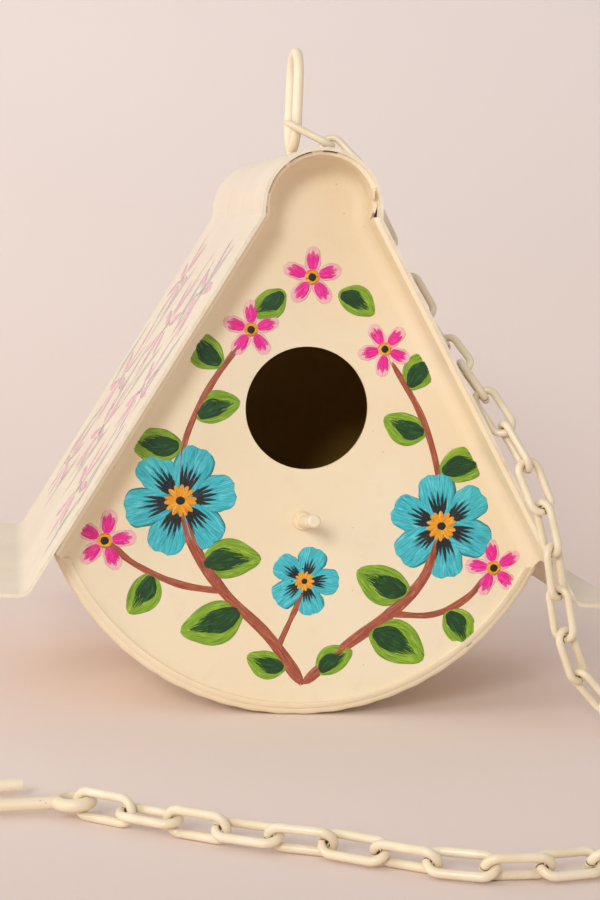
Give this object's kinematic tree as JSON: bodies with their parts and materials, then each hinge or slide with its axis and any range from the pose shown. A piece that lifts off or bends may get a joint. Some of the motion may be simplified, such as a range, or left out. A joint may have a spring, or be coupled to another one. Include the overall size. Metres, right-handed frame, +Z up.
{
  "type": "hanging birdhouse",
  "caption": "Hanging garden birdhouse of bent, cream-painted sheet metal with a painted floral front, a round entrance hole, a perch, a top loop, and a link chain with a hook.",
  "frame": {"origin": "on the ground under the middle of the house", "axes": "+X to the right seen from the front, +Y to the back, +Z up"},
  "size_m": [0.3304, 0.4061, 0.2778],
  "materials": {
    "cream_enamel": "satin",
    "chain_enamel": "satin",
    "zinc_steel": "satin"
  },
  "bodies": {
    "house": {"roof_sheet": "cream_enamel", "front_pan": "cream_enamel", "back_pan": "cream_enamel", "bottom_sheet": "cream_enamel", "perch": "cream_enamel", "perch_washer": "zinc_steel", "hanging_loop": "cream_enamel", "loop_plate": "zinc_steel", "loop_nut": "zinc_steel"},
    "link_01": {"chain_link_01": "chain_enamel"},
    "link_02": {"chain_link_02": "chain_enamel"},
    "link_03": {"chain_link_03": "chain_enamel"},
    "link_04": {"chain_link_04": "chain_enamel"},
    "link_05": {"chain_link_05": "chain_enamel"},
    "link_06": {"chain_link_06": "chain_enamel"},
    "link_07": {"chain_link_07": "chain_enamel"},
    "link_08": {"chain_link_08": "chain_enamel"},
    "link_09": {"chain_link_09": "chain_enamel"},
    "link_10": {"chain_link_10": "chain_enamel"},
    "link_11": {"chain_link_11": "chain_enamel"},
    "link_12": {"chain_link_12": "chain_enamel"},
    "link_13": {"chain_link_13": "chain_enamel"},
    "link_14": {"chain_link_14": "chain_enamel"},
    "link_15": {"chain_link_15": "chain_enamel"},
    "link_16": {"chain_link_16": "chain_enamel"},
    "link_17": {"chain_link_17": "chain_enamel"},
    "link_18": {"chain_link_18": "chain_enamel"},
    "link_19": {"chain_link_19": "chain_enamel"},
    "link_20": {"chain_link_20": "chain_enamel"},
    "link_21": {"chain_link_21": "chain_enamel"},
    "link_22": {"chain_link_22": "chain_enamel"},
    "link_23": {"chain_link_23": "chain_enamel"},
    "link_24": {"chain_link_24": "chain_enamel"},
    "link_25": {"chain_link_25": "chain_enamel"},
    "link_26": {"chain_link_26": "chain_enamel"},
    "link_27": {"chain_link_27": "chain_enamel"},
    "link_28": {"chain_link_28": "chain_enamel"},
    "link_29": {"chain_link_29": "chain_enamel"},
    "link_30": {"chain_link_30": "chain_enamel"},
    "link_31": {"chain_link_31": "chain_enamel"},
    "link_32": {"chain_link_32": "chain_enamel"},
    "link_33": {"chain_link_33": "chain_enamel"},
    "link_34": {"chain_link_34": "chain_enamel"},
    "link_35": {"chain_link_35": "chain_enamel"},
    "link_36": {"chain_link_36": "chain_enamel"},
    "link_37": {"chain_link_37": "chain_enamel"},
    "link_38": {"chain_link_38": "chain_enamel"},
    "link_39": {"chain_link_39": "chain_enamel"},
    "link_40": {"chain_link_40": "chain_enamel"},
    "link_41": {"chain_link_41": "chain_enamel"},
    "link_42": {"chain_link_42": "chain_enamel"},
    "hook": {"chain_hook": "chain_enamel"}
  },
  "joints": [
    {"name": "chain_lift", "type": "hinge", "parent": "house", "child": "link_01", "pos_m": [0, -0.01179, 0.2429], "axis": [-0.3992, -0.7634, -0.5078], "range_deg": [0, 30]},
    {"name": "link_02_bend", "type": "hinge", "parent": "link_01", "child": "link_02", "pos_m": [0.01362, -0.01471, 0.23658], "axis": [-0.2897, -0.9476, 0.1348], "range_deg": [0, 10]},
    {"name": "link_03_bend", "type": "hinge", "parent": "link_02", "child": "link_03", "pos_m": [0.0254, -0.02004, 0.22449], "axis": [-0.1992, -0.9347, 0.2944], "range_deg": [0, 10]},
    {"name": "link_04_bend", "type": "hinge", "parent": "link_03", "child": "link_04", "pos_m": [0.03115, -0.02617, 0.20891], "axis": [-0.0167, -0.9463, 0.3228], "range_deg": [0, 10]},
    {"name": "link_05_bend", "type": "hinge", "parent": "link_04", "child": "link_05", "pos_m": [0.03839, -0.03149, 0.19367], "axis": [-0.1728, -0.9384, 0.2993], "range_deg": [0, 10]},
    {"name": "link_06_bend", "type": "hinge", "parent": "link_05", "child": "link_06", "pos_m": [0.04665, -0.03761, 0.17925], "axis": [-0.2592, -0.8552, 0.4489], "range_deg": [0, 10]},
    {"name": "link_07_bend", "type": "hinge", "parent": "link_06", "child": "link_07", "pos_m": [0.05353, -0.04677, 0.16576], "axis": [-0.3546, -0.705, 0.6142], "range_deg": [0, 10]},
    {"name": "link_08_bend", "type": "hinge", "parent": "link_07", "child": "link_08", "pos_m": [0.05942, -0.05933, 0.15476], "axis": [-0.3947, -0.614, 0.6836], "range_deg": [0, 10]},
    {"name": "link_09_bend", "type": "hinge", "parent": "link_08", "child": "link_09", "pos_m": [0.06481, -0.0733, 0.14532], "axis": [-0.3756, -0.6601, 0.6505], "range_deg": [0, 10]},
    {"name": "link_10_bend", "type": "hinge", "parent": "link_09", "child": "link_10", "pos_m": [0.07065, -0.08659, 0.1352], "axis": [-0.2966, -0.805, 0.5138], "range_deg": [0, 10]},
    {"name": "link_11_bend", "type": "hinge", "parent": "link_10", "child": "link_11", "pos_m": [0.07777, -0.09709, 0.12286], "axis": [-0.1906, -0.9245, 0.3301], "range_deg": [0, 10]},
    {"name": "link_12_bend", "type": "hinge", "parent": "link_11", "child": "link_12", "pos_m": [0.08596, -0.10384, 0.10869], "axis": [-0.7538, -0.6444, -0.1285], "range_deg": [0, 12]},
    {"name": "link_13_bend", "type": "hinge", "parent": "link_12", "child": "link_13", "pos_m": [0.09232, -0.10811, 0.09274], "axis": [-0.8346, -0.5152, -0.1952], "range_deg": [0, 13]},
    {"name": "link_14_bend", "type": "hinge", "parent": "link_13", "child": "link_14", "pos_m": [0.09687, -0.109, 0.07565], "axis": [-0.7249, -0.6705, -0.1579], "range_deg": [0, 10]},
    {"name": "link_15_bend", "type": "hinge", "parent": "link_14", "child": "link_15", "pos_m": [0.10034, -0.10866, 0.0583], "axis": [-0.6378, 0.7619, -0.1129], "range_deg": [0, 10]},
    {"name": "link_16_bend", "type": "hinge", "parent": "link_15", "child": "link_16", "pos_m": [0.10419, -0.108, 0.04104], "axis": [0.2808, 0.9546, 0.0994], "range_deg": [0, 10]},
    {"name": "link_17_bend", "type": "hinge", "parent": "link_16", "child": "link_17", "pos_m": [0.11074, -0.10822, 0.0246], "axis": [0.1175, 0.9925, 0.0338], "range_deg": [0, 22]},
    {"name": "link_18_bend", "type": "hinge", "parent": "link_17", "child": "link_18", "pos_m": [0.12289, -0.10922, 0.01176], "axis": [0.2614, 0.9495, 0.1734], "range_deg": [0, 27]},
    {"name": "link_19_bend", "type": "hinge", "parent": "link_18", "child": "link_19", "pos_m": [0.13914, -0.11257, 0.0056], "axis": [0.3809, 0.6633, 0.6442], "range_deg": [0, 25]},
    {"name": "link_20_bend", "type": "hinge", "parent": "link_19", "child": "link_20", "pos_m": [0.15471, -0.12097, 0.00505], "axis": [0.0651, 0.0552, 0.9963], "range_deg": [0, 21]},
    {"name": "link_21_bend", "type": "hinge", "parent": "link_20", "child": "link_21", "pos_m": [0.16616, -0.13447, 0.00505], "axis": [0, 0, 1], "range_deg": [0, 22]},
    {"name": "link_22_bend", "type": "hinge", "parent": "link_21", "child": "link_22", "pos_m": [0.17175, -0.15126, 0.00505], "axis": [0, 0, 1], "range_deg": [0, 15]},
    {"name": "link_23_bend", "type": "hinge", "parent": "link_22", "child": "link_23", "pos_m": [0.17277, -0.16893, 0.00505], "axis": [0, 0, 1], "range_deg": [0, 11]},
    {"name": "link_24_bend", "type": "hinge", "parent": "link_23", "child": "link_24", "pos_m": [0.1704, -0.18647, 0.00505], "axis": [0, 0, 1], "range_deg": [0, 10]},
    {"name": "link_25_bend", "type": "hinge", "parent": "link_24", "child": "link_25", "pos_m": [0.16569, -0.20354, 0.00505], "axis": [0, 0, 1], "range_deg": [0, 10]},
    {"name": "link_26_bend", "type": "hinge", "parent": "link_25", "child": "link_26", "pos_m": [0.15888, -0.21987, 0.00505], "axis": [0, 0, 1], "range_deg": [0, 10]},
    {"name": "link_27_bend", "type": "hinge", "parent": "link_26", "child": "link_27", "pos_m": [0.14957, -0.23492, 0.00505], "axis": [0, 0, 1], "range_deg": [0, 10]},
    {"name": "link_28_bend", "type": "hinge", "parent": "link_27", "child": "link_28", "pos_m": [0.1387, -0.24889, 0.00505], "axis": [0, 0, 1], "range_deg": [0, 10]},
    {"name": "link_29_bend", "type": "hinge", "parent": "link_28", "child": "link_29", "pos_m": [0.12557, -0.26077, 0.00505], "axis": [0, 0, 1], "range_deg": [0, 10]},
    {"name": "link_30_bend", "type": "hinge", "parent": "link_29", "child": "link_30", "pos_m": [0.11147, -0.27146, 0.00505], "axis": [0, 0, 1], "range_deg": [0, 10]},
    {"name": "link_31_bend", "type": "hinge", "parent": "link_30", "child": "link_31", "pos_m": [0.09693, -0.28156, 0.00505], "axis": [0, 0, 1], "range_deg": [0, 10]},
    {"name": "link_32_bend", "type": "hinge", "parent": "link_31", "child": "link_32", "pos_m": [0.08124, -0.28974, 0.00505], "axis": [0, 0, 1], "range_deg": [0, 10]},
    {"name": "link_33_bend", "type": "hinge", "parent": "link_32", "child": "link_33", "pos_m": [0.06483, -0.29639, 0.00505], "axis": [0, 0, 1], "range_deg": [0, 10]},
    {"name": "link_34_bend", "type": "hinge", "parent": "link_33", "child": "link_34", "pos_m": [0.04774, -0.30099, 0.00505], "axis": [0, 0, 1], "range_deg": [0, 12]},
    {"name": "link_35_bend", "type": "hinge", "parent": "link_34", "child": "link_35", "pos_m": [0.03006, -0.30184, 0.00505], "axis": [0, 0, 1], "range_deg": [0, 22]},
    {"name": "link_36_bend", "type": "hinge", "parent": "link_35", "child": "link_36", "pos_m": [0.01332, -0.29608, 0.00505], "axis": [-0.0035, -0.0102, 0.9999], "range_deg": [0, 14]},
    {"name": "link_37_bend", "type": "hinge", "parent": "link_36", "child": "link_37", "pos_m": [-0.00158, -0.28654, 0.00509], "axis": [-0.4228, -0.6576, -0.6236], "range_deg": [0, 10]},
    {"name": "link_38_bend", "type": "hinge", "parent": "link_37", "child": "link_38", "pos_m": [-0.01656, -0.2771, 0.0053], "axis": [-0.0278, -0.0222, -0.9994], "range_deg": [0, 13]},
    {"name": "link_39_bend", "type": "hinge", "parent": "link_38", "child": "link_39", "pos_m": [-0.03326, -0.27126, 0.00563], "axis": [0.043, 0.0659, 0.9969], "range_deg": [0, 10]},
    {"name": "link_40_bend", "type": "hinge", "parent": "link_39", "child": "link_40", "pos_m": [-0.04914, -0.26343, 0.0058], "axis": [0.035, 0.0497, 0.9981], "range_deg": [0, 10]},
    {"name": "link_41_bend", "type": "hinge", "parent": "link_40", "child": "link_41", "pos_m": [-0.06405, -0.2539, 0.00585], "axis": [0.0291, 0.0404, 0.9988], "range_deg": [0, 10]},
    {"name": "link_42_bend", "type": "hinge", "parent": "link_41", "child": "link_42", "pos_m": [-0.07842, -0.24356, 0.00585], "axis": [0, 0, 1], "range_deg": [0, 10]},
    {"name": "hook_turn", "type": "hinge", "parent": "link_42", "child": "hook", "pos_m": [-0.09507, -0.23135, 0.00585], "axis": [-0.0644, 0, 0.9979], "range_deg": [-60, 60]}
  ]
}
